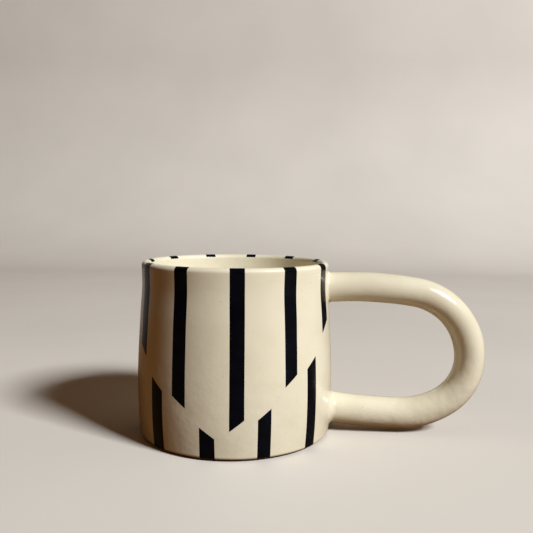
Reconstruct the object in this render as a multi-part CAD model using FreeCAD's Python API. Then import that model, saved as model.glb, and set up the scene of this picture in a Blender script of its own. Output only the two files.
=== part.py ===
import FreeCAD, Part
import math
import os

from FreeCAD import Vector

# A hand-built stoneware mug with a thick coil handle and dark glaze stripes.
# Millimetres, +Z up.  The origin is on the cup's axis, on the surface it stands on.
# The handle points along +X.

# ---- driving dimensions -------------------------------------------------
HEIGHT = 80.0
LIP_RADIUS = 2.0                 # the lip is a full round, as thick as the wall
RIM_RADIUS = 43.5
FOOT_RADIUS = 44.75
FOOT_ROUND = 1.5                 # rounded lower edge of the glazed wall
BARE_FOOT_RADIUS = 42.9          # unglazed ring that stands on the table
BARE_FOOT_HEIGHT = 0.8

# outside of the wall between foot and lip: (radius, height)
BELLY = (
    (45.3, 10.0),
    (45.65, 24.0),
    (44.25, 56.0),
    (43.35, 70.0),
)
WALL_THICKNESS = 4.4

BASE_RADIUS = 40.0
BASE_THICKNESS = 6.0
CORNER_RADIUS = 5.0              # clay smeared into the inside corner
CORNER_SWEEP = math.radians(65)  # the smear meets the base at a blunt angle

# handle: a round coil, bent in one plane, in tangent arcs (radius, degrees)
COIL_RADIUS = 7.0
HANDLE_START = (41.4, 67.8)      # inside the wall, (x, z)
HANDLE_HEADING = 5.3             # degrees above level
HANDLE_ARCS = (
    (166.6, 14.7),
    (30.7, 82.3),
    (24.9, 55.3),
    (37.8, 33.7),
    (277.0, 7.4),
)

# clay collar pressed round each end of the coil
COLLAR_RADIUS = 9.8
COLLAR_REACH = 3.0               # how far it runs out along the coil
COLLAR_SINK = 1.0                # its widest ring, this far behind the wall's face
COLLAR_HOLLOW = 0.4              # depth of its hollow curve
COLLAR_EDGE = 0.2                # thickness where it thins out on the coil

# dark glaze stripes, let into shallow pockets.  They are laid by hand, so they
# differ a little: (degrees round from the handle, width, how much closer than the
# others it comes to the zigzag line, how far its end on that line leans round)
STRIPE_DEPTH = 0.3
RIM_STRIPES = (
    (18.5, 5.5, 0.3, 0.2),
    (52, 5.6, 0.0, -0.3),
    (84, 5.2, 0.4, 0.0),
    (115, 5.4, -0.2, 0.2),
    (147, 5.6, 0.5, -0.2),
    (178, 6.0, 0.1, 0.3),
    (212, 7.0, 0.0, 0.0),
    (244, 6.8, 1.0, 0.4),
    (276.7, 6.4, 0.0, 0.0),
    (307.7, 6.4, 0.8, -0.5),
    (339.7, 7.0, 0.2, 0.0),
)
FOOT_STRIPES = (
    (35, 6.5, 0.2, 0.2),
    (68, 6.4, 0.0, 0.0),
    (99, 6.6, 0.3, -0.2),
    (130, 6.5, -0.1, 0.2),
    (160, 6.7, 0.4, 0.0),
    (188.5, 6.4, 0.0, -0.2),
    (228.5, 7.5, 0.5, 0.0),
    (260.9, 6.8, 0.0, 0.0),
    (291.4, 6.0, 0.0, 0.0),
    (322.4, 6.3, 0.5, 0.0),
)
RIM_STRIPE_WRAP = 3.8            # how far in over the lip a rim stripe runs
FOOT_STRIPE_BOTTOM = 1.3

# The stripes stop at a zigzag line round the cup.  It is lowest at the two
# sides a quarter turn from the handle, and climbs towards the handle and away
# from it, in millimetres of height per degree.
ZIGZAG_LOW = 9.6
CLIMB_TO_HANDLE = 0.585
CLIMB_AWAY = 0.52
ZIGZAG_GAP = 2.0                 # bare band on each side of the line

Y_AXIS = Vector(0, 1, 0)
Z_AXIS = Vector(0, 0, 1)
ORIGIN = Vector(0, 0, 0)


# ---- small helpers --------------------------------------------------------
def point(radius, height):
    """A point of a lathe outline, in the XZ plane."""
    return Vector(radius, 0, height)


def line(a, b):
    return Part.LineSegment(a, b).toShape()


def arc(a, middle, b):
    return Part.Arc(a, middle, b).toShape()


def smooth_curve(points):
    curve = Part.BSplineCurve()
    curve.interpolate(points)
    return curve.toShape()


def lathe(edges, centre=ORIGIN, axis=Z_AXIS):
    """Turn a closed outline once round an axis."""
    face = Part.Face(Part.Wire(edges))
    return face.revolve(centre, axis, 360)


def save(name, shape):
    shape.exportStep("parts/" + name + ".step")


# ---- the cup --------------------------------------------------------------
def side_points(inset):
    """The wall's outside, moved inward, from the foot to the start of the lip."""
    outline = [(FOOT_RADIUS, BARE_FOOT_HEIGHT + FOOT_ROUND)]
    outline += list(BELLY)
    outline += [(RIM_RADIUS, HEIGHT - LIP_RADIUS)]
    return [point(radius - inset, height) for radius, height in outline]


def lip_arc(inset):
    """Over the top of the lip, from its outer side to its inner side."""
    centre = RIM_RADIUS - LIP_RADIUS
    height = HEIGHT - LIP_RADIUS
    radius = LIP_RADIUS - inset
    return arc(
        point(centre + radius, height),
        point(centre, height + radius),
        point(centre - radius, height),
    )


def foot_arc(inset):
    """Round the wall's lower edge, from its underside to its outer side."""
    centre = FOOT_RADIUS - FOOT_ROUND
    height = BARE_FOOT_HEIGHT + FOOT_ROUND
    radius = FOOT_ROUND - inset
    half = radius * math.sqrt(0.5)
    return arc(
        point(centre, height - radius),
        point(centre + half, height - half),
        point(centre + radius, height),
    )


def foot_edges(start):
    """The underside, from a point on the table's level to the glazed side."""
    table = point(BARE_FOOT_RADIUS, 0)
    ring_top = point(BARE_FOOT_RADIUS, BARE_FOOT_HEIGHT)
    glaze_start = point(FOOT_RADIUS - FOOT_ROUND, BARE_FOOT_HEIGHT)
    return [
        line(start, table),
        line(table, ring_top),
        line(ring_top, glaze_start),
        foot_arc(0),
    ]


def filled_cup():
    """The cup's outer shape with no hollow, for trimming what joins the wall."""
    side = side_points(0)
    top = point(0, HEIGHT - LIP_RADIUS)
    return lathe(foot_edges(ORIGIN) + [
        smooth_curve(side),
        line(side[-1], top),
        line(top, ORIGIN),
    ])


def cup_wall():
    side = side_points(0)
    inner_lip = point(RIM_RADIUS - 2 * LIP_RADIUS, HEIGHT - LIP_RADIUS)
    corner_height = BASE_THICKNESS + CORNER_RADIUS * math.sin(CORNER_SWEEP)
    corner_top = point(BELLY[0][0] - WALL_THICKNESS, corner_height)
    inside = [inner_lip]
    inside += [point(radius - WALL_THICKNESS, height) for radius, height in BELLY[:0:-1]]
    inside += [corner_top]

    def corner_point(angle):
        return corner_top + point(
            CORNER_RADIUS * (math.cos(angle) - 1),
            -CORNER_RADIUS * math.sin(angle),
        )

    corner_end = corner_point(CORNER_SWEEP)
    base_top = point(BASE_RADIUS, BASE_THICKNESS)
    base_bottom = point(BASE_RADIUS, 0)
    return lathe(foot_edges(base_bottom) + [
        smooth_curve(side),
        lip_arc(0),
        smooth_curve(inside),
        arc(corner_top, corner_point(CORNER_SWEEP / 2), corner_end),
        line(corner_end, base_top),
        line(base_top, base_bottom),
    ])


def base_slab():
    return Part.makeCylinder(BASE_RADIUS, BASE_THICKNESS)


# ---- the handle -----------------------------------------------------------
def heading_vector(degrees):
    angle = math.radians(degrees)
    return Vector(math.cos(angle), 0, math.sin(angle))


def handle_coil():
    """Each arc of the coil is a piece of a ring; they meet end to end."""
    place = point(*HANDLE_START)
    heading = HANDLE_HEADING
    pieces = []
    for radius, turn in HANDLE_ARCS:
        centre = place + heading_vector(heading - 90) * radius
        section = Part.makeCircle(COIL_RADIUS, place, heading_vector(heading))
        disc = Part.Face(Part.Wire(section))
        pieces.append(disc.revolve(centre, Y_AXIS, turn))
        heading -= turn
        place = centre + heading_vector(heading + 90) * radius
    coil = pieces[0].fuse(pieces[1:])
    return coil.removeSplitter(), place, heading


def collar(wall_place, heading):
    """A ring of clay that flares from the coil to the wall, before trimming."""
    along = heading_vector(heading)
    across = heading_vector(heading + 90)

    def at(distance, radius):
        return wall_place + along * distance + across * radius

    back = -COLLAR_REACH
    wide = (-COLLAR_SINK, COLLAR_RADIUS)
    narrow = (COLLAR_REACH, COIL_RADIUS + COLLAR_EDGE)
    length = narrow[0] - wide[0]
    drop = wide[1] - narrow[1]
    chord = math.hypot(length, drop)
    middle = (
        (wide[0] + narrow[0]) / 2 - COLLAR_HOLLOW * drop / chord,
        (wide[1] + narrow[1]) / 2 - COLLAR_HOLLOW * length / chord,
    )
    return lathe([
        line(at(back, 0), at(back, wide[1])),
        line(at(back, wide[1]), at(*wide)),
        arc(at(*wide), at(*middle), at(*narrow)),
        line(at(*narrow), at(narrow[0], 0)),
        line(at(narrow[0], 0), at(back, 0)),
    ], wall_place, along)


def point_on_wall(place, heading, wall_radius):
    """Follow a heading from inside the wall to the wall's face."""
    way = heading_vector(heading)
    return place + way * ((wall_radius - place.x) / way.x)


# ---- the stripes ----------------------------------------------------------
def zigzag_height(degrees):
    from_handle = abs((degrees + 180) % 360 - 180)
    climb = CLIMB_TO_HANDLE if from_handle < 90 else CLIMB_AWAY
    return ZIGZAG_LOW + climb * abs(from_handle - 90)


def glaze_skin():
    """The outermost skin of the wall and lip, as deep as a stripe."""
    outer = side_points(0)
    inner = side_points(STRIPE_DEPTH)
    lip_height = HEIGHT - LIP_RADIUS
    inner_side = RIM_RADIUS - 2 * LIP_RADIUS
    foot = FOOT_RADIUS - FOOT_ROUND
    return lathe([
        line(point(foot, BARE_FOOT_HEIGHT + STRIPE_DEPTH), point(foot, BARE_FOOT_HEIGHT)),
        foot_arc(0),
        smooth_curve(outer),
        lip_arc(0),
        line(point(inner_side, lip_height), point(inner_side + STRIPE_DEPTH, lip_height)),
        lip_arc(STRIPE_DEPTH),
        smooth_curve(inner),
        foot_arc(STRIPE_DEPTH),
    ])


def zigzag_corners(degrees, width, closer, lean, side):
    """A stripe's two corners at the zigzag line, as (offset round the wall, height).

    The side is 1 above the line and -1 below it.
    """
    gap = (ZIGZAG_GAP - closer) * side
    offsets = (lean - width / 2, lean + width / 2)
    return [
        (offset, zigzag_height(degrees + math.degrees(offset / RIM_RADIUS)) + gap)
        for offset in offsets
    ]


def cut_stripe(skin, degrees, width, corners, far_height):
    """Cut a stripe from the skin, between its corners and a level far end."""
    near = RIM_RADIUS - RIM_STRIPE_WRAP
    outline = [Vector(near, offset, height) for offset, height in corners]
    outline += [Vector(near, width / 2, far_height), Vector(near, -width / 2, far_height)]
    face = Part.Face(Part.makePolygon(outline + outline[:1]))
    bar = face.extrude(Vector(RIM_RADIUS / 2, 0, 0))
    bar.rotate(ORIGIN, Z_AXIS, degrees)
    return skin.common(bar)


def rim_stripe(skin, degrees, width, closer, lean):
    corners = zigzag_corners(degrees, width, closer, lean, 1)
    return cut_stripe(skin, degrees, width, corners, HEIGHT + 1)


def foot_stripe(skin, degrees, width, closer, lean):
    corners = zigzag_corners(degrees, width, closer, lean, -1)
    return cut_stripe(skin, degrees, width, corners, FOOT_STRIPE_BOTTOM)


# ---- build and save -------------------------------------------------------
def main():
    os.makedirs("parts", exist_ok=True)

    cup = filled_cup()
    skin = glaze_skin()
    stripes = {}
    for number, layout in enumerate(RIM_STRIPES, 1):
        stripes["rim_stripe_%02d" % number] = rim_stripe(skin, *layout)
    for number, layout in enumerate(FOOT_STRIPES, 1):
        stripes["foot_stripe_%02d" % number] = foot_stripe(skin, *layout)

    save("cup_wall", cup_wall().cut(list(stripes.values())))
    save("base_slab", base_slab())
    for name, stripe in stripes.items():
        save(name, stripe)

    coil, end_place, end_heading = handle_coil()
    save("handle_coil", coil.cut(cup))

    upper = point_on_wall(point(*HANDLE_START), HANDLE_HEADING, BELLY[3][0])
    lower = point_on_wall(end_place, end_heading + 180, BELLY[0][0])
    upper_collar = collar(upper, HANDLE_HEADING)
    lower_collar = collar(lower, end_heading + 180)
    save("upper_handle_collar", upper_collar.cut([coil, cup]))
    save("lower_handle_collar", lower_collar.cut([coil, cup]))


main()
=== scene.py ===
import math

import bpy
import numpy as np
from mathutils import Matrix, Vector


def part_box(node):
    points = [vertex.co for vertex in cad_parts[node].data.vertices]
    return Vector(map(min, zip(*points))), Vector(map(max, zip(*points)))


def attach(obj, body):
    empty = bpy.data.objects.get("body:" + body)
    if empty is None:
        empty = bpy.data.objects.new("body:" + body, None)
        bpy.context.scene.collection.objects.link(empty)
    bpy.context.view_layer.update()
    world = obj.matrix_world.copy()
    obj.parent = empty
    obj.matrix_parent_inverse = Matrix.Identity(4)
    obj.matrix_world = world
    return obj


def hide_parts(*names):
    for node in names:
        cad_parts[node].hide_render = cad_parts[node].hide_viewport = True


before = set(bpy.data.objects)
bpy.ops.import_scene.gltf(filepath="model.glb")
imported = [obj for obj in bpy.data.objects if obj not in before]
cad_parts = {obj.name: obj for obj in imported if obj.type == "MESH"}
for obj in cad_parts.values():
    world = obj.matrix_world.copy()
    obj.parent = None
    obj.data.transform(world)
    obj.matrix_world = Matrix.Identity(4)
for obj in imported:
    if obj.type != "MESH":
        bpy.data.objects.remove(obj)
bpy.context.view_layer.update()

# A hand-built mug: a glazed cup on a bare clay foot, a coil handle and dark glaze stripes.
# Shapes are worked out in millimetres and written to Blender in metres.
# Blender's frame is the part's own: +Z up, +X along the handle.
MM = 0.001


def size_mm(node):
    """A CAD node's size along X, Y and Z."""
    low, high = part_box(node)
    return (high - low) / MM


# ---- driving dimensions, in millimetres -------------------------------------
STRIPE_RELIEF = 0.02            # how proud the dark glaze stands
HEIGHT = size_mm("cup_wall").z - STRIPE_RELIEF
BASE_TOP = size_mm("base_slab").z
LIP = 2.0                       # radius of the rounded lip
RIM_RADIUS = 43.45
GLAZE_START = 0.8               # the glaze stops just above the table
FOOT_ROUND = 1.5                # rounded lower edge of the glazed wall
FOOT_RADIUS = 44.7
SIDE_HEIGHTS = (GLAZE_START + FOOT_ROUND, 10.0, 24.0, 56.0, 70.0, HEIGHT - LIP)
SIDE_RADII = (FOOT_RADIUS, 45.25, 45.6, 44.2, 43.3, RIM_RADIUS)
WALL = 4.4                      # thickness of the wall
LIP_TAPER = 20.0                # it thins to the lip over this height
CORNER = 5.0                    # radius of the inside corner
WOBBLE_INSET = 0.15             # so that the wall's bulges hardly pass its true round
WOBBLE_FADE = 30.0              # inside this radius the wobble fades out
CLAY_RADIUS = 43.0              # bare clay foot, a little inside the glaze
CLAY_ROUND = 0.5
CLAY_HEIGHT = 2.0

COIL = 7.0                      # radius of the coil
COIL_INSET = 0.09               # keeps the uneven upper arm within that radius
COIL_SWELL = 0.35               # the lower arm is a little thicker than the upper one
# the coil's middle starts inside the wall, at a radius and a height, heading a few degrees
# upwards, and then turns down and back to the wall by arcs: (radius, degrees)
HANDLE_START = (41.4, 67.8)
HANDLE_HEADING = 5.3
HANDLE_ARCS = ((166.6, 14.7), (30.7, 82.3), (24.9, 55.3), (37.8, 33.7), (277.0, 7.4))
# radii of the clay smoothed round each end: above the coil, beside it, under it
UPPER_FILLETS = (1.0, 0.7, 0.7)
LOWER_FILLETS = (1.2, 3.2, 1.3)

# stripes laid by hand: (degrees round from the handle, width, how much closer than
# the others it comes to the zigzag line, how far its end on that line leans round)
RIM_STRIPES = (
    (18.5, 5.5, 0.3, 0.2),
    (52, 5.6, 0.0, -0.3),
    (84, 5.2, 0.4, 0.0),
    (115, 5.4, -0.2, 0.2),
    (147, 5.6, 0.5, -0.2),
    (178, 6.0, 0.1, 0.3),
    (212, 7.0, 0.0, 0.0),
    (244, 6.8, 1.0, 0.4),
    (276.7, 6.4, 0.0, 0.0),
    (307.7, 6.4, 0.8, -0.5),
    (339.7, 7.0, 0.2, 0.0),
)
FOOT_STRIPES = (
    (35, 6.5, 0.2, 0.2),
    (68, 6.4, 0.0, 0.0),
    (99, 6.6, 0.3, -0.2),
    (130, 6.5, -0.1, 0.2),
    (160, 6.7, 0.4, 0.0),
    (188.5, 6.4, 0.0, -0.2),
    (228.5, 7.5, 0.5, 0.0),
    (260.9, 6.8, 0.0, 0.0),
    (291.4, 6.0, 0.0, 0.0),
    (322.4, 6.3, 0.5, 0.0),
)
ZIGZAG_LOW = 9.6
CLIMB_TO_HANDLE = 0.585         # millimetres of height per degree
CLIMB_AWAY = 0.52
ZIGZAG_GAP = 2.0
STRIPE_WRAP = math.radians(163)  # how far a rim stripe turns over the lip
STRIPE_SINK = 0.2               # how deep a stripe's underside lies in the wall
STRIPE_EDGE = 0.35              # width of its rounded edge
STRIPE_TUCK = 0.02              # how far that edge dips below the cream glaze
STRIPE_CLEAR = 0.12             # between a foot stripe and the glaze's lower edge
FOOT_BRUSH = 20                 # sets the foot stripes' wobbles apart from the rim stripes'

# ---- mesh fineness ----------------------------------------------------------
AROUND = 360                    # columns of the cup
BASE_AROUND = 180               # columns of the bare clay base
COIL_AROUND = 72
COIL_STEP = 0.5                 # between the coil's rings, in millimetres
STRIPE_COLUMN_STEP = 0.5        # between a stripe's columns
STRIPE_ROW_STEP = 0.9           # and its rows
LIP_ROW_STEP = 0.27             # which are closer together over the lip
FOOT_ROW_STEP = 0.12            # and on the wall's rounded lower edge
ROW_CLEAR = 0.4                 # least distance from those closer rows to the others
EDGE_STEPS = STRIPE_EDGE * np.array([0.0, 0.2, 0.5, 1.0])   # in from a stripe's edge

# every piece of the mug is in this collection too, so that a light can be kept to them
mug = bpy.data.collections.new("mug")


# ---- mesh helpers -----------------------------------------------------------
def make_piece(name, points, faces, material):
    """A smooth-shaded mesh piece from points in millimetres."""
    mesh = bpy.data.meshes.new(name)
    mesh.from_pydata([tuple(p) for p in np.asarray(points) * MM], [], faces)
    mesh.validate()
    mesh.polygons.foreach_set("use_smooth", [True] * len(mesh.polygons))
    mesh.materials.append(material)
    mesh.update()
    piece = bpy.data.objects.new(name, mesh)
    bpy.context.scene.collection.objects.link(piece)
    mug.objects.link(piece)
    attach(piece, "root")
    return piece


def grid_faces(rows, columns, wrap_columns=False):
    """Quads of a grid whose points are stored row by row."""
    faces = []
    last = columns if wrap_columns else columns - 1
    for row in range(rows - 1):
        for column in range(last):
            right = (column + 1) % columns
            faces.append((
                row * columns + column,
                row * columns + right,
                (row + 1) * columns + right,
                (row + 1) * columns + column,
            ))
    return faces


def capped_faces(rows, columns):
    """Faces of a closed skin: a first point, rings round the axis, a last point."""
    faces = [tuple(i + 1 for i in quad) for quad in grid_faces(rows, columns, True)]
    last = rows * columns + 1
    for column in range(columns):
        right = (column + 1) % columns
        faces.append((0, 1 + right, 1 + column))
        faces.append((last, last - columns + column, last - columns + right))
    return faces


def plate_faces(rows, columns):
    """Faces of a closed plate: a top grid, then the same grid underneath."""
    count = rows * columns
    faces = grid_faces(rows, columns)
    faces += [tuple(i + count for i in quad[::-1]) for quad in grid_faces(rows, columns)]
    border = list(range(columns))
    border += [row * columns + columns - 1 for row in range(1, rows)]
    border += [count - 1 - i for i in range(1, columns)]
    border += [row * columns for row in range(rows - 2, 0, -1)]
    for a, b in zip(border, border[1:] + border[:1]):
        faces.append((b, a, a + count, b + count))
    return faces


# ---- the cup's surface ------------------------------------------------------
def smooth_through(xs, ys, x):
    """A smooth curve through a few points, by cubic pieces with shared slopes."""
    xs = np.asarray(xs, float)
    ys = np.asarray(ys, float)
    slopes = np.gradient(ys, xs)
    x = np.clip(x, xs[0], xs[-1])
    i = np.clip(np.searchsorted(xs, x) - 1, 0, len(xs) - 2)
    step = xs[i + 1] - xs[i]
    t = (x - xs[i]) / step
    return (
        (2 * t**3 - 3 * t**2 + 1) * ys[i]
        + (t**3 - 2 * t**2 + t) * step * slopes[i]
        + (3 * t**2 - 2 * t**3) * ys[i + 1]
        + (t**3 - t**2) * step * slopes[i + 1]
    )


def side_radius(height):
    """Outside of the wall, and of its rounded lower edge."""
    below = np.clip((SIDE_HEIGHTS[0] - height) / FOOT_ROUND, 0, 1)
    rounding = FOOT_ROUND * (1 - np.sqrt(1 - below**2))
    return smooth_through(SIDE_HEIGHTS, SIDE_RADII, height) - rounding


def hand_wobble(angle, height):
    """How far the hand-made wall strays from its true round, in millimetres."""
    slow = 0.09 * np.cos(2 * angle + 0.6) + 0.05 * np.cos(3 * angle - 1.1 + height / 30)
    ripple = 0.03 * np.sin(height / 6.5 + 1.3 * np.sin(angle))
    dents = 0.03 * np.sin(5 * angle + height / 13) * np.cos(height / 17 - 2 * angle)
    return slow + ripple + dents - WOBBLE_INSET


def wall_point(angle, radius, height):
    """A point of the cup, with its wobble; the centre of the floor has none."""
    fade = np.clip(radius / WOBBLE_FADE, 0, 1) ** 2
    radius = radius + hand_wobble(angle, height) * fade
    return np.stack([radius * np.cos(angle), radius * np.sin(angle), height + 0 * angle], -1)


def lip_point(turn, lift=0.0):
    """Radius and height on the lip; turn is 0 outside, pi inside."""
    radius = RIM_RADIUS - LIP + (LIP + lift) * np.cos(turn)
    height = HEIGHT - LIP + (LIP + lift) * np.sin(turn)
    return radius, height


def foot_outline():
    """The glaze's hidden underside and its rounded lower edge."""
    edge = FOOT_RADIUS - FOOT_ROUND
    outline = [(r, GLAZE_START) for r in (0, 10, 20, 30, 40, edge)]
    for turn in np.linspace(-math.pi / 2, 0, 12)[1:]:
        outline.append((
            edge + FOOT_ROUND * math.cos(turn),
            SIDE_HEIGHTS[0] + FOOT_ROUND * math.sin(turn),
        ))
    return outline


def inside_outline():
    """Down the inner side, round the corner and in to the middle of the floor."""
    outline = []
    corner_top = BASE_TOP + CORNER
    for height in np.linspace(HEIGHT - LIP, corner_top, 60)[1:-1]:
        share = min((HEIGHT - LIP - height) / LIP_TAPER, 1)
        thickness = 2 * LIP + (WALL - 2 * LIP) * share
        outline.append((float(side_radius(height)) - thickness, height))
    floor_edge = float(side_radius(corner_top)) - WALL - CORNER
    for turn in np.linspace(0, math.pi / 2, 14):
        outline.append((
            floor_edge + CORNER * math.cos(turn),
            corner_top - CORNER * math.sin(turn),
        ))
    for share in np.linspace(1, 0, 16)[1:]:
        outline.append((floor_edge * share, BASE_TOP))
    return outline


def make_cup(material):
    """The glazed cup: its underside, wall, lip, inside and floor in one closed skin."""
    outline = foot_outline()
    for height in np.linspace(SIDE_HEIGHTS[0], HEIGHT - LIP, 96)[1:-1]:
        outline.append((float(side_radius(height)), height))
    for turn in np.linspace(0, math.pi, 33):
        outline.append(tuple(lip_point(turn)))
    outline += inside_outline()
    angles = np.linspace(0, 2 * math.pi, AROUND, endpoint=False)
    rings = [wall_point(angles, radius, height) for radius, height in outline[1:-1]]
    bottom = [[0, 0, outline[0][1]]]
    floor = [[0, 0, outline[-1][1]]]
    points = np.concatenate([bottom] + rings + [floor])
    cup = make_piece("glazed_cup", points, capped_faces(len(rings), AROUND), material)
    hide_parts("cup_wall")


def make_clay_base(material):
    """The bare clay disc that the glazed cup stands on."""
    outline = [(r, 0.0) for r in (8, 16, 24, 32, 40)]
    for turn in np.linspace(-math.pi / 2, 0, 6):
        outline.append((
            CLAY_RADIUS - CLAY_ROUND + CLAY_ROUND * math.cos(turn),
            CLAY_ROUND + CLAY_ROUND * math.sin(turn),
        ))
    outline += [(CLAY_RADIUS, CLAY_HEIGHT), (30, CLAY_HEIGHT), (15, CLAY_HEIGHT)]
    angles = np.linspace(0, 2 * math.pi, BASE_AROUND, endpoint=False)
    rings = [wall_point(angles, radius, height) for radius, height in outline]
    points = np.concatenate([[[0, 0, 0]]] + rings + [[[0, 0, CLAY_HEIGHT]]])
    base = make_piece("clay_base", points, capped_faces(len(rings), BASE_AROUND), material)
    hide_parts("base_slab")


# ---- the handle -------------------------------------------------------------
def heading_vector(degrees):
    """A unit vector in the handle's plane, at an angle up from +X."""
    angle = math.radians(degrees)
    return np.array([math.cos(angle), 0.0, math.sin(angle)])


def handle_path(step):
    """Places and headings along the coil's middle, arc by arc."""
    place = np.array([HANDLE_START[0], 0.0, HANDLE_START[1]])
    heading = HANDLE_HEADING
    stations = [(place, heading)]
    for radius, turn in HANDLE_ARCS:
        centre = place + heading_vector(heading - 90) * radius
        count = max(2, round(math.radians(turn) * radius / step))
        for part in range(1, count + 1):
            here = heading - turn * part / count
            stations.append((centre + heading_vector(here + 90) * radius, here))
        heading -= turn
        place = stations[-1][0]
    return stations


def coil_radius(share):
    """The coil's radius along its length: a little uneven, thicker at the lower end."""
    swell = np.clip((share - 0.6) / 0.3, 0, 1)
    swell = swell * swell * (3 - 2 * swell)
    uneven = 0.05 * math.sin(share * 19) + 0.04 * math.sin(share * 43 + 1)
    return COIL - COIL_INSET + uneven + COIL_SWELL * swell


def fillet_radius(turn, fillets):
    """Fillet between coil and wall: turn is 0 above the coil, pi below it."""
    above, beside, below = fillets
    side = np.sin(turn) ** 2
    return side * beside + (1 - side) * np.where(np.cos(turn) > 0, above, below)


def coil_ring(place, heading, thick, turns, fillet):
    """One ring of the coil, flared where it comes near the wall."""
    outward = heading_vector(heading + 90)
    side = np.array([0.0, 1.0, 0.0])
    spread = np.outer(np.cos(turns), outward) + np.outer(np.sin(turns), side)
    flare = np.zeros(len(turns))
    for _ in range(3):
        ring = place + spread * (thick + flare)[:, None]
        gap = np.hypot(ring[:, 0], ring[:, 1]) - side_radius(ring[:, 2])
        inside = np.clip(fillet - gap, 0, fillet)
        flare = fillet - np.sqrt(np.maximum(fillet**2 - inside**2, 0))
    return place + spread * (thick + flare)[:, None]


def make_handle(material):
    """The coil, with the clay smoothed round its ends."""
    turns = np.linspace(0, 2 * math.pi, COIL_AROUND, endpoint=False)
    stations = handle_path(COIL_STEP)
    rings = []
    for index, (place, heading) in enumerate(stations):
        share = index / (len(stations) - 1)
        if share < 0.5:
            fillet = fillet_radius(turns, UPPER_FILLETS)
        else:
            fillet = fillet_radius(math.pi - turns, LOWER_FILLETS)
        rings.append(coil_ring(place, heading, coil_radius(share), turns, fillet))
    points = np.concatenate([[stations[0][0]]] + rings + [[stations[-1][0]]])
    handle = make_piece("coil_handle", points, capped_faces(len(rings), COIL_AROUND), material)
    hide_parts("handle_coil", "upper_handle_collar", "lower_handle_collar")


# ---- the stripes ------------------------------------------------------------
def zigzag_height(degrees):
    """The stripes stop short of a line that is lowest a quarter turn from the handle."""
    from_handle = abs((degrees + 180) % 360 - 180)
    climb = CLIMB_TO_HANDLE if from_handle < 90 else CLIMB_AWAY
    return ZIGZAG_LOW + climb * abs(from_handle - 90)


def steps_between(start, end, step):
    """Even distances, about a step apart."""
    return np.linspace(start, end, max(3, round((end - start) / step)))


def edge_steps(length, step):
    """Distances across a plate, closer together at both of its edges."""
    middle = steps_between(STRIPE_EDGE, length - STRIPE_EDGE, step)[1:-1]
    return np.concatenate([EDGE_STEPS, middle, length - EDGE_STEPS[::-1]])


def relief(distance, length):
    """The dark glaze is flat on top and falls away at its rim."""
    near = np.minimum(distance, length - distance)
    fall = 1 - (1 - np.clip(near / STRIPE_EDGE, 0, 1)) ** 2
    return (STRIPE_RELIEF + STRIPE_TUCK) * fall - STRIPE_TUCK


def brush_wobble(number, along, side):
    """A hand-painted edge isn't quite straight; side is -1 or 1."""
    slow = 0.04 * np.sin(along / 11.3 + number * 1.7 + side)
    quick = 0.012 * np.sin(along / 2.3 + number * 2.9 * side)
    return slow + quick


def rim_stripe_rows(length):
    """Distances from a rim stripe's lower end up the wall and over the lip."""
    lip_start = length - LIP * STRIPE_WRAP
    wall = edge_steps(length, STRIPE_ROW_STEP)
    wall = wall[wall < lip_start - ROW_CLEAR]
    over_lip = steps_between(lip_start, length - STRIPE_EDGE, LIP_ROW_STEP)
    return np.concatenate([wall, over_lip, length - EDGE_STEPS[-2::-1]])


def foot_stripe_rows(length):
    """Distances up a foot stripe, close together on the wall's rounded lower edge."""
    rounding = steps_between(STRIPE_EDGE, FOOT_ROUND + 0.2, FOOT_ROW_STEP)
    wall = edge_steps(length, STRIPE_ROW_STEP)
    wall = wall[wall > rounding[-1] + ROW_CLEAR]
    return np.concatenate([EDGE_STEPS[:-1], rounding, wall])


def stripe_ends(layout, offsets, at_rim):
    """Heights of a stripe's lower and upper ends on the wall, column by column."""
    degrees, _, closer, lean = layout
    gap = (ZIGZAG_GAP - closer) * (1 if at_rim else -1)
    at_zigzag = np.array([
        zigzag_height(degrees + math.degrees((offset + lean) / RIM_RADIUS)) + gap
        for offset in offsets])
    if at_rim:
        return at_zigzag, np.full(len(offsets), HEIGHT - LIP)
    return np.full(len(offsets), GLAZE_START + STRIPE_CLEAR), at_zigzag


def make_stripe(name, number, layout, at_rim, material):
    """A thin curved plate that follows the wall, or the wall and the lip."""
    degrees, width, _, lean = layout
    across = edge_steps(width, STRIPE_COLUMN_STEP)
    offsets = across - width / 2
    side = np.where(offsets < 0, -1, 1)
    bottom, top = stripe_ends(layout, offsets, at_rim)
    on_wall = float(np.mean(top - bottom))
    length = on_wall + LIP * STRIPE_WRAP if at_rim else on_wall
    along = rim_stripe_rows(length) if at_rim else foot_stripe_rows(length)
    rise = np.minimum(relief(along, length)[:, None], relief(across, width)[None, :])

    def surface(lift):
        """The grid's points, each row at its distance along and its lift off the wall."""
        rows = []
        for distance, row_lift in zip(along, lift):
            if distance > on_wall:
                turn = (distance - on_wall) / LIP
                radius, height = lip_point(turn, row_lift)
            else:
                height = bottom + (top - bottom) * (distance / on_wall)
                radius = side_radius(height) + row_lift
            to_end = min(distance / on_wall, 1)
            shift = lean * (1 - to_end if at_rim else to_end)
            shift = shift + brush_wobble(number, distance, side) * offsets / (width / 2)
            angle = math.radians(degrees) + np.arcsin((offsets + shift) / radius)
            radius = radius + hand_wobble(angle, height)
            rows.append(np.stack(
                [radius * np.cos(angle), radius * np.sin(angle), height + 0 * angle], -1))
        return np.concatenate(rows)

    points = np.concatenate([surface(rise), surface(np.full_like(rise, -STRIPE_SINK))])
    faces = plate_faces(len(along), len(offsets))
    stripe = make_piece(name + "_glaze", points, faces, material)
    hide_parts(name)


# ---- materials --------------------------------------------------------------
# their lengths are in metres, as shader nodes take them
CUP_LUMPS = 0.0002              # height of the lumps on the cup
COIL_LUMPS = 0.00045            # and on the coil, which was rolled by hand


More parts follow.
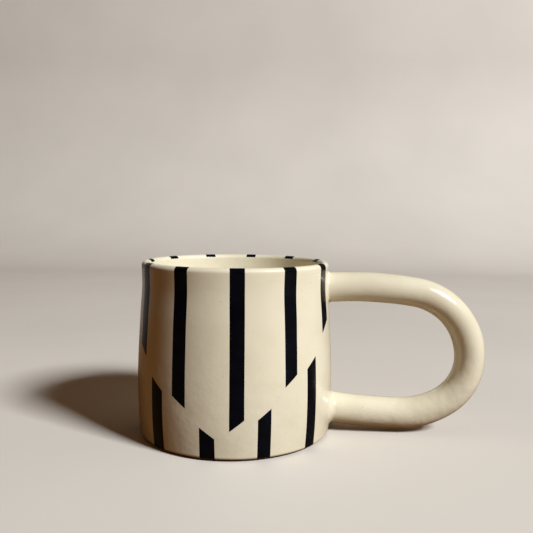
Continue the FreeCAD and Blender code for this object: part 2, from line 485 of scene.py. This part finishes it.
class Nodes:
    """A short way to build a material's node tree."""

    def __init__(self, name):
        self.material = bpy.data.materials.new(name)
        self.material.use_nodes = True
        self.tree = self.material.node_tree
        self.shader = self.tree.nodes["Principled BSDF"]
        self.place = self.add("ShaderNodeTexCoord").outputs["Object"]

    def add(self, kind, **settings):
        node = self.tree.nodes.new(kind)
        for key, value in settings.items():
            setattr(node, key, value)
        return node

    def join(self, source, target):
        self.tree.links.new(source, target)

    def noise(self, scale, detail=3.0, roughness=0.5):
        """Cloudy noise from 0 to 1; scale is about how many clouds go to a metre."""
        node = self.add("ShaderNodeTexNoise")
        node.inputs["Scale"].default_value = scale
        node.inputs["Detail"].default_value = detail
        node.inputs["Roughness"].default_value = roughness
        self.join(self.place, node.inputs["Vector"])
        return node.outputs["Fac"]

    def spots(self, scale, size):
        """1 inside small round dots scattered through space, 0 elsewhere."""
        node = self.add("ShaderNodeTexVoronoi")
        node.inputs["Scale"].default_value = scale
        self.join(self.place, node.inputs["Vector"])
        return self.ramp(node.outputs["Distance"], [(0.0, 1.0), (size, 1.0), (size * 1.6, 0.0)])

    def span(self, axis, start, end):
        """0 before the start and 1 after the end of a stretch along an axis, in metres."""
        split = self.add("ShaderNodeSeparateXYZ")
        self.join(self.place, split.inputs["Vector"])
        node = self.add("ShaderNodeMapRange")
        node.inputs["From Min"].default_value = start
        node.inputs["From Max"].default_value = end
        self.join(split.outputs[axis], node.inputs["Value"])
        return node.outputs["Result"]

    def ramp(self, source, stops):
        """Numbers from a number: stops are (position, value)."""
        node = self.add("ShaderNodeValToRGB")
        elements = node.color_ramp.elements
        while len(elements) < len(stops):
            elements.new(0.5)
        for element, (position, value) in zip(elements, stops):
            element.position = position
            element.color = (value, value, value, 1) if isinstance(value, float) else value
        self.join(source, node.inputs["Fac"])
        return node.outputs["Color"]

    def mix(self, share, first, second, blend="MIX"):
        """One colour over another; each value is a number, a colour or an output."""
        node = self.add("ShaderNodeMix", data_type="RGBA", blend_type=blend)
        for socket, value in ((node.inputs["Factor"], share), (node.inputs["A"], first),
                              (node.inputs["B"], second)):
            if isinstance(value, (tuple, float)):
                socket.default_value = value
            else:
                self.join(value, socket)
        return node.outputs["Result"]

    def math(self, operation, first, second):
        node = self.add("ShaderNodeMath", operation=operation)
        for socket, value in zip(node.inputs, (first, second)):
            if isinstance(value, float):
                socket.default_value = value
            else:
                self.join(value, socket)
        return node.outputs["Value"]

    def bump(self, height, distance, under=None):
        """Relief from a height of 0 to 1; distance is how high 1 stands, in metres."""
        node = self.add("ShaderNodeBump")
        node.inputs["Distance"].default_value = distance
        self.join(height, node.inputs["Height"])
        if under is not None:
            self.join(under, node.inputs["Normal"])
        return node.outputs["Normal"]


def cream_colour(nodes):
    """Cream that drifts to milky and warm, with tea-coloured stains and a few brown specks."""
    cream = (0.82, 0.76, 0.58, 1)
    milk = (0.84, 0.79, 0.62, 1)
    warm = (0.78, 0.70, 0.50, 1)
    tea = (0.70, 0.62, 0.45, 1)
    speck = (0.30, 0.21, 0.13, 1)
    cloud = nodes.ramp(nodes.noise(45, 4), [(0.35, 0.0), (0.65, 1.0)])
    patch = nodes.ramp(nodes.noise(110, 3), [(0.55, 0.0), (0.75, 0.35)])
    stain = nodes.ramp(nodes.noise(38, 5, 0.6), [(0.50, 0.0), (0.72, 0.40)])
    few = nodes.ramp(nodes.noise(140, 1), [(0.56, 0.0), (0.60, 0.5)])
    dots = nodes.math("MULTIPLY", nodes.spots(230, 0.04), few)
    colour = nodes.mix(cloud, cream, milk)
    colour = nodes.mix(patch, colour, warm)
    colour = nodes.mix(stain, colour, tea)
    return nodes.mix(dots, colour, speck)


def cream_roughness(nodes):
    """Glossy, and drier on the lip, where the glaze has run thin."""
    gloss = nodes.ramp(nodes.noise(260, 3), [(0.3, 0.17), (0.7, 0.25)])
    on_lip = nodes.span("Z", (HEIGHT - 3.5) * MM, (HEIGHT - 1.5) * MM)
    thin = nodes.ramp(on_lip, [(0.0, 0.0), (1.0, 0.3)])
    return nodes.math("ADD", gloss, thin)


def cream_relief(nodes, lumps):
    """Lumps in the clay, deeper low down, then orange peel and small pits in the glaze."""
    peel_height = 0.000022
    pit_depth = 0.00012
    lower = nodes.ramp(nodes.span("Z", 0.025, 0.05), [(0.0, 1.0), (1.0, 0.3)])
    swell = nodes.bump(nodes.math("MULTIPLY", nodes.noise(140, 3), lower), lumps)
    peel = nodes.bump(nodes.noise(1300, 2), peel_height, swell)
    few = nodes.ramp(nodes.noise(90, 1), [(0.60, 0.0), (0.64, 1.0)])
    pits = nodes.math("MULTIPLY", nodes.spots(330, 0.05), few)
    return nodes.bump(nodes.math("SUBTRACT", 1.0, pits), pit_depth, peel)


def cream_glaze(name, lumps):
    """The cream glaze, over clay with lumps of a given height, in metres."""
    nodes = Nodes(name)
    shader = nodes.shader
    nodes.join(cream_colour(nodes), shader.inputs["Base Color"])
    nodes.join(cream_roughness(nodes), shader.inputs["Roughness"])
    nodes.join(cream_relief(nodes, lumps), shader.inputs["Normal"])
    shader.inputs["IOR"].default_value = 1.45
    shader.inputs["Coat Weight"].default_value = 0.15
    shader.inputs["Coat Roughness"].default_value = 0.09
    return nodes.material


def black_glaze():
    """The stripes' glaze: blue-black, and glossy but with weak reflections."""
    nodes = Nodes("black_glaze")
    shader = nodes.shader
    ink = (0.001, 0.0015, 0.003, 1)
    navy = (0.0016, 0.003, 0.0075, 1)
    swell_height = 0.00004
    peel_height = 0.000006
    cloud = nodes.ramp(nodes.noise(160, 4), [(0.4, 0.0), (0.65, 1.0)])
    nodes.join(nodes.mix(cloud, ink, navy), shader.inputs["Base Color"])
    gloss = nodes.ramp(nodes.noise(500, 3), [(0.3, 0.14), (0.7, 0.22)])
    nodes.join(gloss, shader.inputs["Roughness"])
    swell = nodes.bump(nodes.noise(150, 2), swell_height)
    nodes.join(nodes.bump(nodes.noise(1500, 2), peel_height, swell), shader.inputs["Normal"])
    shader.inputs["IOR"].default_value = 1.30
    shader.inputs["Specular IOR Level"].default_value = 0.3
    return nodes.material


def bare_clay():
    """Rough, unglazed red-brown clay."""
    nodes = Nodes("bare_clay")
    shader = nodes.shader
    dark = (0.10, 0.045, 0.028, 1)
    light = (0.22, 0.12, 0.075, 1)
    grain_height = 0.00008
    grain = nodes.ramp(nodes.noise(900, 5, 0.7), [(0.35, 0.0), (0.65, 1.0)])
    nodes.join(nodes.mix(grain, dark, light), shader.inputs["Base Color"])
    shader.inputs["Roughness"].default_value = 0.85
    nodes.join(nodes.bump(nodes.noise(1600, 4), grain_height), shader.inputs["Normal"])
    return nodes.material


def stage_material(name, painted_bounce):
    """A pale surface that lights the mug with painted bounce light, and shows painted
    reflections in its gloss.

    Light bounced off it onto the mug takes a painted colour of its own. The gloss shows a
    painted reflection of a brown table, and behind it a wall with painted shade on its right.
    """
    pale = (0.80, 0.76, 0.70, 1)
    # painted reflection: the brown table that the gloss shows in place of the pale floor
    table = (0.20, 0.11, 0.05, 1)
    # painted reflection of a wall, lit on the left and in painted shade on the right
    lit_wall_reflection = (0.46, 0.45, 0.44, 1)
    shaded_wall_reflection = (0.05, 0.05, 0.05, 1)
    table_reflection_ends = (0.1, 0.3)         # metres behind the mug
    painted_wall_shade_span = (-0.25, 0.1)     # metres to the right of the mug
    nodes = Nodes(name)
    shade = nodes.ramp(nodes.noise(6, 3), [(0.3, 0.94), (0.7, 1.0)])
    seen = nodes.mix(1.0, pale, shade, "MULTIPLY")
    # painted shade on the reflected wall, coming in towards the right
    wall = nodes.mix(nodes.span("X", *painted_wall_shade_span), lit_wall_reflection, shaded_wall_reflection)
    painted_reflection = nodes.mix(nodes.span("Y", *table_reflection_ends), table, wall)
    rays = nodes.add("ShaderNodeLightPath").outputs
    # light bounced off this surface takes the painted bounce colour, and its gloss shows the
    # painted reflection
    colour = nodes.mix(rays["Is Diffuse Ray"], seen, painted_bounce)
    colour = nodes.mix(rays["Is Glossy Ray"], colour, painted_reflection)
    nodes.join(colour, nodes.shader.inputs["Base Color"])
    nodes.shader.inputs["Roughness"].default_value = 0.6
    nodes.shader.inputs["Specular IOR Level"].default_value = 0.2
    return nodes.material


# ---- floor, light and camera ------------------------------------------------
LIGHT_TARGET = (20, 0, 40)      # millimetres, near the middle of the mug


def make_floor():
    """A pale floor that curves up behind the mug into a plain backdrop, in metres."""
    half_width = 2.5
    front = -1.6
    bend_start = 0.75
    bend = 0.45
    top = 1.8
    # painted bounce light: warm brown colours that the floor and backdrop give to the light they
    # bounce onto the mug
    floor_painted_bounce = (0.16, 0.070, 0.018, 1)
    backdrop_painted_bounce = (0.15, 0.08, 0.03, 1)
    profile = [(front, 0.0)]
    for turn in np.linspace(0, math.pi / 2, 24):
        profile.append((bend_start + bend * math.sin(turn), bend - bend * math.cos(turn)))
    profile.append((bend_start + bend, top))
    points = []
    for depth, height in profile:
        points.append((-half_width, depth, height))
        points.append((half_width, depth, height))
    mesh = bpy.data.meshes.new("floor")
    mesh.from_pydata(points, [], grid_faces(len(profile), 2))
    mesh.polygons.foreach_set("use_smooth", [True] * len(mesh.polygons))
    mesh.materials.append(stage_material("pale_floor_painted_light", floor_painted_bounce))
    mesh.materials.append(stage_material("pale_backdrop_painted_light", backdrop_painted_bounce))
    mesh.polygons.foreach_set("material_index", [0] + [1] * (len(profile) - 2))
    floor = bpy.data.objects.new("floor", mesh)
    bpy.context.scene.collection.objects.link(floor)


def area_light(name, turn, climb, distance, size, watts, colour):
    """A lamp aimed at the mug from degrees round from the handle, degrees up and metres away."""
    turn = math.radians(turn)
    climb = math.radians(climb)
    flat = distance * math.cos(climb)
    place = Vector((flat * math.cos(turn), flat * math.sin(turn), distance * math.sin(climb)))
    aim = Vector(LIGHT_TARGET) * MM - place
    light = bpy.data.lights.new(name, "AREA")
    light.shape = "RECTANGLE"
    light.size, light.size_y = size
    light.energy = watts
    light.color = colour
    lamp = bpy.data.objects.new(name, light)
    lamp.location = place
    lamp.rotation_euler = aim.to_track_quat("-Z", "Y").to_euler()
    bpy.context.scene.collection.objects.link(lamp)
    return lamp


def make_lights():
    """A soft window light from the front right, and a dim one that only the mug gets."""
    daylight = (0.98, 0.995, 1.0)
    lamplight = (1.0, 0.93, 0.84)
    area_light("window", -35, 38, 4.0, (0.88, 0.88), 197, daylight)
    fill = area_light("back_fill", 98, 16, 1.1, (0.6, 0.4), 5.5, lamplight)
    fill.visible_camera = False
    fill.visible_glossy = False
    fill.light_linking.receiver_collection = mug


def make_world():
    """Dim warm light from all round, where the camera sees a plain pale background."""
    dim_warm = (0.060, 0.028, 0.010, 1)
    pale = (0.62, 0.59, 0.55, 1)
    world = bpy.data.worlds.new("studio")
    world.use_nodes = True
    tree = world.node_tree
    seen = tree.nodes.new("ShaderNodeLightPath").outputs["Is Camera Ray"]
    mix = tree.nodes.new("ShaderNodeMix")
    mix.data_type = "RGBA"
    mix.inputs["A"].default_value = dim_warm
    mix.inputs["B"].default_value = pale
    tree.links.new(seen, mix.inputs["Factor"])
    tree.links.new(mix.outputs["Result"], tree.nodes["Background"].inputs["Color"])
    bpy.context.scene.world = world
    bpy.context.scene.view_settings.view_transform = "Standard"


def make_camera():
    """The camera stands in front of the cup and looks a little down and to the left."""
    place = Matrix.Translation(Vector((29.9, -293.9, 103.2)) * MM)
    heading = Matrix.Rotation(math.radians(3.0), 4, "Z")
    pitch = Matrix.Rotation(math.radians(90 - 5.04), 4, "X")
    roll = Matrix.Rotation(math.radians(0.51), 4, "Z")
    camera = bpy.data.cameras.new("camera")
    camera.sensor_width = 36.0
    camera.lens = 42.57
    holder = bpy.data.objects.new("camera", camera)
    holder.matrix_world = place @ heading @ pitch @ roll
    bpy.context.scene.collection.objects.link(holder)
    bpy.context.scene.camera = holder


# ---- build ------------------------------------------------------------------
black = black_glaze()
make_cup(cream_glaze("cream_glaze", CUP_LUMPS))
make_clay_base(bare_clay())
make_handle(cream_glaze("coil_glaze", COIL_LUMPS))
for number, layout in enumerate(RIM_STRIPES, 1):
    make_stripe("rim_stripe_%02d" % number, number, layout, True, black)
for number, layout in enumerate(FOOT_STRIPES, 1):
    make_stripe("foot_stripe_%02d" % number, number + FOOT_BRUSH, layout, False, black)
make_floor()
make_lights()
make_world()
make_camera()
